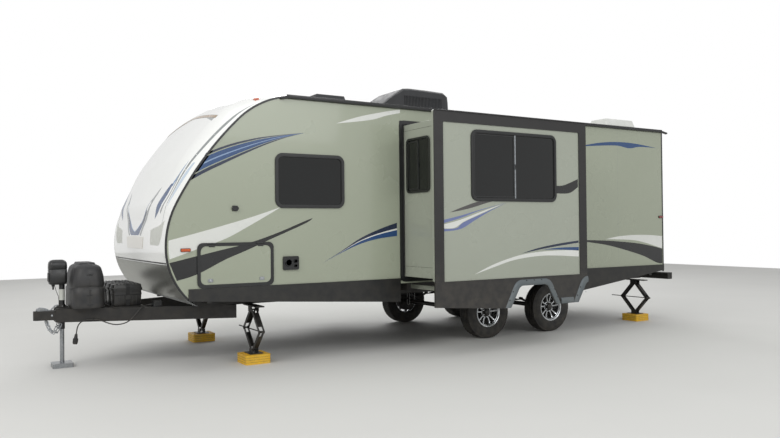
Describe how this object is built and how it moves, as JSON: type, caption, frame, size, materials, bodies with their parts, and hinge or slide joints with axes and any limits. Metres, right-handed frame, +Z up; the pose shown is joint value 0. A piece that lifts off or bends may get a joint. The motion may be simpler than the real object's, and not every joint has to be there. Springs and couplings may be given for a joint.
{
  "type": "travel caravan",
  "caption": "Long travel caravan with a sloped front cap, tandem axle, slide-out room, A-frame tongue with jack and ball coupler, and scissor stabilisers.",
  "frame": {"origin": "middle of the tongue jack foot's underside, on the ground", "axes": "+X from the coupler to the rear bumper, +Z up, -Y the street side with the slide-out room"},
  "size_m": [8.747, 3.4273, 3.29],
  "materials": {
    "black_steel": "semi-gloss chassis paint",
    "axle_steel": "satin paint",
    "floor": "board",
    "wall_skin": "glossy laminate",
    "roof_membrane": "rubber roofing",
    "cap_gelcoat": "moulded gelcoat",
    "rock_guard": "brushed sheet",
    "dark_skirt": "gloss paint",
    "flare_grey": "moulded",
    "black_frame": "satin black",
    "tinted_glass": "dark tint",
    "cover_plastic": "textured",
    "black_plastic": "moulded",
    "zinc_steel": "zinc plated",
    "awning_white": "rolled fabric and painted arms",
    "vent_white": "moulded",
    "vent_dark": "moulded",
    "lamp_red": "lens",
    "yellow_pad": "moulded",
    "cable_rubber": "jacket",
    "tyre": "road tyre",
    "alloy": "machined alloy",
    "stabiliser_steel": "black paint"
  },
  "bodies": {
    "trailer": {"chassis_frame": "black_steel", "ball_coupler": "black_steel", "axle_set": "axle_steel", "floor_deck": "floor", "street_wall": "wall_skin", "door_wall": "wall_skin", "rear_wall": "wall_skin", "roof_skin": "roof_membrane", "front_cap": "cap_gelcoat", "rock_guard": "rock_guard", "body_skirt": "dark_skirt", "body_flares": "flare_grey", "window_frames": "black_frame", "window_glass": "tinted_glass", "bottle_cover": "cover_plastic", "battery_boxes": "black_plastic", "jack_housing": "black_plastic", "safety_chains": "zinc_steel", "rear_bumper": "black_steel", "rolled_awning": "awning_white", "air_conditioner": "black_plastic", "roof_vents": "vent_white", "lamps": "lamp_red", "outer_fittings": "black_plastic", "levelling_pads": "yellow_pad", "tow_cable": "cable_rubber", "tow_plug": "black_plastic"},
    "slide_room": {"slide_box": "wall_skin", "slide_fascia": "wall_skin", "slide_trim": "dark_skirt", "slide_flare": "flare_grey", "slide_window_frame": "black_frame", "slide_glass": "tinted_glass"},
    "jack_leg": {"jack_leg": "zinc_steel"},
    "entry_door": {"entry_door": "wall_skin"},
    "storage_door_street": {"storage_door_street": "wall_skin"},
    "storage_door_far": {"storage_door_far": "wall_skin"},
    "entry_step": {"entry_step": "black_steel"},
    "roof_vent_lid": {"roof_vent_lid": "vent_dark"},
    "wheel_street_front": {"tyre_street_front": "tyre", "wheel_street_front": "alloy"},
    "wheel_street_rear": {"tyre_street_rear": "tyre", "wheel_street_rear": "alloy"},
    "wheel_door_front": {"tyre_door_front": "tyre", "wheel_door_front": "alloy"},
    "wheel_door_rear": {"tyre_door_rear": "tyre", "wheel_door_rear": "alloy"},
    "stabiliser_street_upper_outer": {"stabiliser_street_upper_outer": "stabiliser_steel"},
    "stabiliser_street_upper_inner": {"stabiliser_street_upper_inner": "stabiliser_steel"},
    "stabiliser_street_lower_outer": {"stabiliser_street_lower_outer": "stabiliser_steel"},
    "stabiliser_street_lower_inner": {"stabiliser_street_lower_inner": "stabiliser_steel"},
    "stabiliser_street_foot": {"stabiliser_street_foot": "stabiliser_steel"},
    "stabiliser_street_screw": {"stabiliser_street_screw": "stabiliser_steel"},
    "stabiliser_door_upper_outer": {"stabiliser_door_upper_outer": "stabiliser_steel"},
    "stabiliser_door_upper_inner": {"stabiliser_door_upper_inner": "stabiliser_steel"},
    "stabiliser_door_lower_outer": {"stabiliser_door_lower_outer": "stabiliser_steel"},
    "stabiliser_door_lower_inner": {"stabiliser_door_lower_inner": "stabiliser_steel"},
    "stabiliser_door_foot": {"stabiliser_door_foot": "stabiliser_steel"},
    "stabiliser_door_screw": {"stabiliser_door_screw": "stabiliser_steel"}
  },
  "joints": [
    {"name": "slide_room_travel", "type": "slide", "parent": "trailer", "child": "slide_room", "axis": [0, 1, 0], "range_m": [0, 0.62]},
    {"name": "tongue_jack", "type": "slide", "parent": "trailer", "child": "jack_leg", "axis": [0, 0, 1], "range_m": [-0.12, 0.3]},
    {"name": "entry_door_hinge", "type": "hinge", "parent": "trailer", "child": "entry_door", "pos_m": [3.5558, 1.2315, 1.7325], "axis": [0, 0, 1], "range_deg": [0, 165]},
    {"name": "storage_door_street_hinge", "type": "hinge", "parent": "trailer", "child": "storage_door_street", "pos_m": [1.4875, -1.2315, 1.2922], "axis": [-1, 0, 0], "range_deg": [0, 120]},
    {"name": "storage_door_far_hinge", "type": "hinge", "parent": "trailer", "child": "storage_door_far", "pos_m": [1.4875, 1.2315, 1.2922], "axis": [1, 0, 0], "range_deg": [0, 120]},
    {"name": "entry_step_travel", "type": "slide", "parent": "trailer", "child": "entry_step", "axis": [0, -1, 0], "range_m": [0, 0.28]},
    {"name": "roof_vent_hinge", "type": "hinge", "parent": "trailer", "child": "roof_vent_lid", "pos_m": [3.242, -0.2, 3.0342], "axis": [0, 1, 0], "range_deg": [0, 50]},
    {"name": "wheel_street_front_spin", "type": "hinge", "parent": "trailer", "child": "wheel_street_front", "pos_m": [4.92, -1, 0.3315], "axis": [0, 1, 0], "continuous": true},
    {"name": "wheel_street_rear_spin", "type": "hinge", "parent": "trailer", "child": "wheel_street_rear", "pos_m": [6.018, -1, 0.3315], "axis": [0, 1, 0], "continuous": true},
    {"name": "wheel_door_front_spin", "type": "hinge", "parent": "trailer", "child": "wheel_door_front", "pos_m": [4.92, 1, 0.3315], "axis": [0, 1, 0], "continuous": true},
    {"name": "wheel_door_rear_spin", "type": "hinge", "parent": "trailer", "child": "wheel_door_rear", "pos_m": [6.018, 1, 0.3315], "axis": [0, 1, 0], "continuous": true},
    {"name": "stabiliser_street_fold", "type": "hinge", "parent": "trailer", "child": "stabiliser_street_upper_outer", "pos_m": [1.78, -0.952, 0.57], "axis": [-1, 0, 0], "range_deg": [0, 38.6]},
    {"name": "stabiliser_street_upper_inner_turn", "type": "hinge", "parent": "trailer", "child": "stabiliser_street_upper_inner", "pos_m": [1.78, -0.908, 0.57], "axis": [-1, 0, 0], "range_deg": [-38.6, 0]},
    {"name": "stabiliser_street_lower_outer_turn", "type": "hinge", "parent": "stabiliser_street_upper_outer", "child": "stabiliser_street_lower_outer", "pos_m": [1.78, -1.15826, 0.35215], "axis": [-1, 0, 0], "range_deg": [-77.2, 0]},
    {"name": "stabiliser_street_lower_inner_turn", "type": "hinge", "parent": "stabiliser_street_upper_inner", "child": "stabiliser_street_lower_inner", "pos_m": [1.78, -0.70174, 0.35215], "axis": [-1, 0, 0], "range_deg": [0, 77.2]},
    {"name": "stabiliser_street_foot_turn", "type": "hinge", "parent": "stabiliser_street_lower_outer", "child": "stabiliser_street_foot", "pos_m": [1.78, -0.952, 0.1343], "axis": [-1, 0, 0], "range_deg": [0, 38.6]},
    {"name": "stabiliser_street_screw_turn", "type": "hinge", "parent": "stabiliser_street_upper_outer", "child": "stabiliser_street_screw", "pos_m": [1.78, -1.15826, 0.35215], "axis": [-1, 0, 0], "range_deg": [-38.6, 0]},
    {"name": "stabiliser_door_fold", "type": "hinge", "parent": "trailer", "child": "stabiliser_door_upper_outer", "pos_m": [1.78, 0.952, 0.57], "axis": [1, 0, 0], "range_deg": [0, 38.6]},
    {"name": "stabiliser_door_upper_inner_turn", "type": "hinge", "parent": "trailer", "child": "stabiliser_door_upper_inner", "pos_m": [1.78, 0.908, 0.57], "axis": [1, 0, 0], "range_deg": [-38.6, 0]},
    {"name": "stabiliser_door_lower_outer_turn", "type": "hinge", "parent": "stabiliser_door_upper_outer", "child": "stabiliser_door_lower_outer", "pos_m": [1.78, 1.15826, 0.35215], "axis": [1, 0, 0], "range_deg": [-77.2, 0]},
    {"name": "stabiliser_door_lower_inner_turn", "type": "hinge", "parent": "stabiliser_door_upper_inner", "child": "stabiliser_door_lower_inner", "pos_m": [1.78, 0.70174, 0.35215], "axis": [1, 0, 0], "range_deg": [0, 77.2]},
    {"name": "stabiliser_door_foot_turn", "type": "hinge", "parent": "stabiliser_door_lower_outer", "child": "stabiliser_door_foot", "pos_m": [1.78, 0.952, 0.1343], "axis": [1, 0, 0], "range_deg": [0, 38.6]},
    {"name": "stabiliser_door_screw_turn", "type": "hinge", "parent": "stabiliser_door_upper_outer", "child": "stabiliser_door_screw", "pos_m": [1.78, 1.15826, 0.35215], "axis": [1, 0, 0], "range_deg": [-38.6, 0]}
  ],
  "couplings": [
    {"joint": "stabiliser_street_upper_inner_turn", "follows": "stabiliser_street_fold", "ratio": -1},
    {"joint": "stabiliser_street_lower_outer_turn", "follows": "stabiliser_street_fold", "ratio": -2},
    {"joint": "stabiliser_street_lower_inner_turn", "follows": "stabiliser_street_fold", "ratio": 2},
    {"joint": "stabiliser_street_foot_turn", "follows": "stabiliser_street_fold", "ratio": 1},
    {"joint": "stabiliser_street_screw_turn", "follows": "stabiliser_street_fold", "ratio": -1},
    {"joint": "stabiliser_door_upper_inner_turn", "follows": "stabiliser_door_fold", "ratio": -1},
    {"joint": "stabiliser_door_lower_outer_turn", "follows": "stabiliser_door_fold", "ratio": -2},
    {"joint": "stabiliser_door_lower_inner_turn", "follows": "stabiliser_door_fold", "ratio": 2},
    {"joint": "stabiliser_door_foot_turn", "follows": "stabiliser_door_fold", "ratio": 1},
    {"joint": "stabiliser_door_screw_turn", "follows": "stabiliser_door_fold", "ratio": -1}
  ]
}
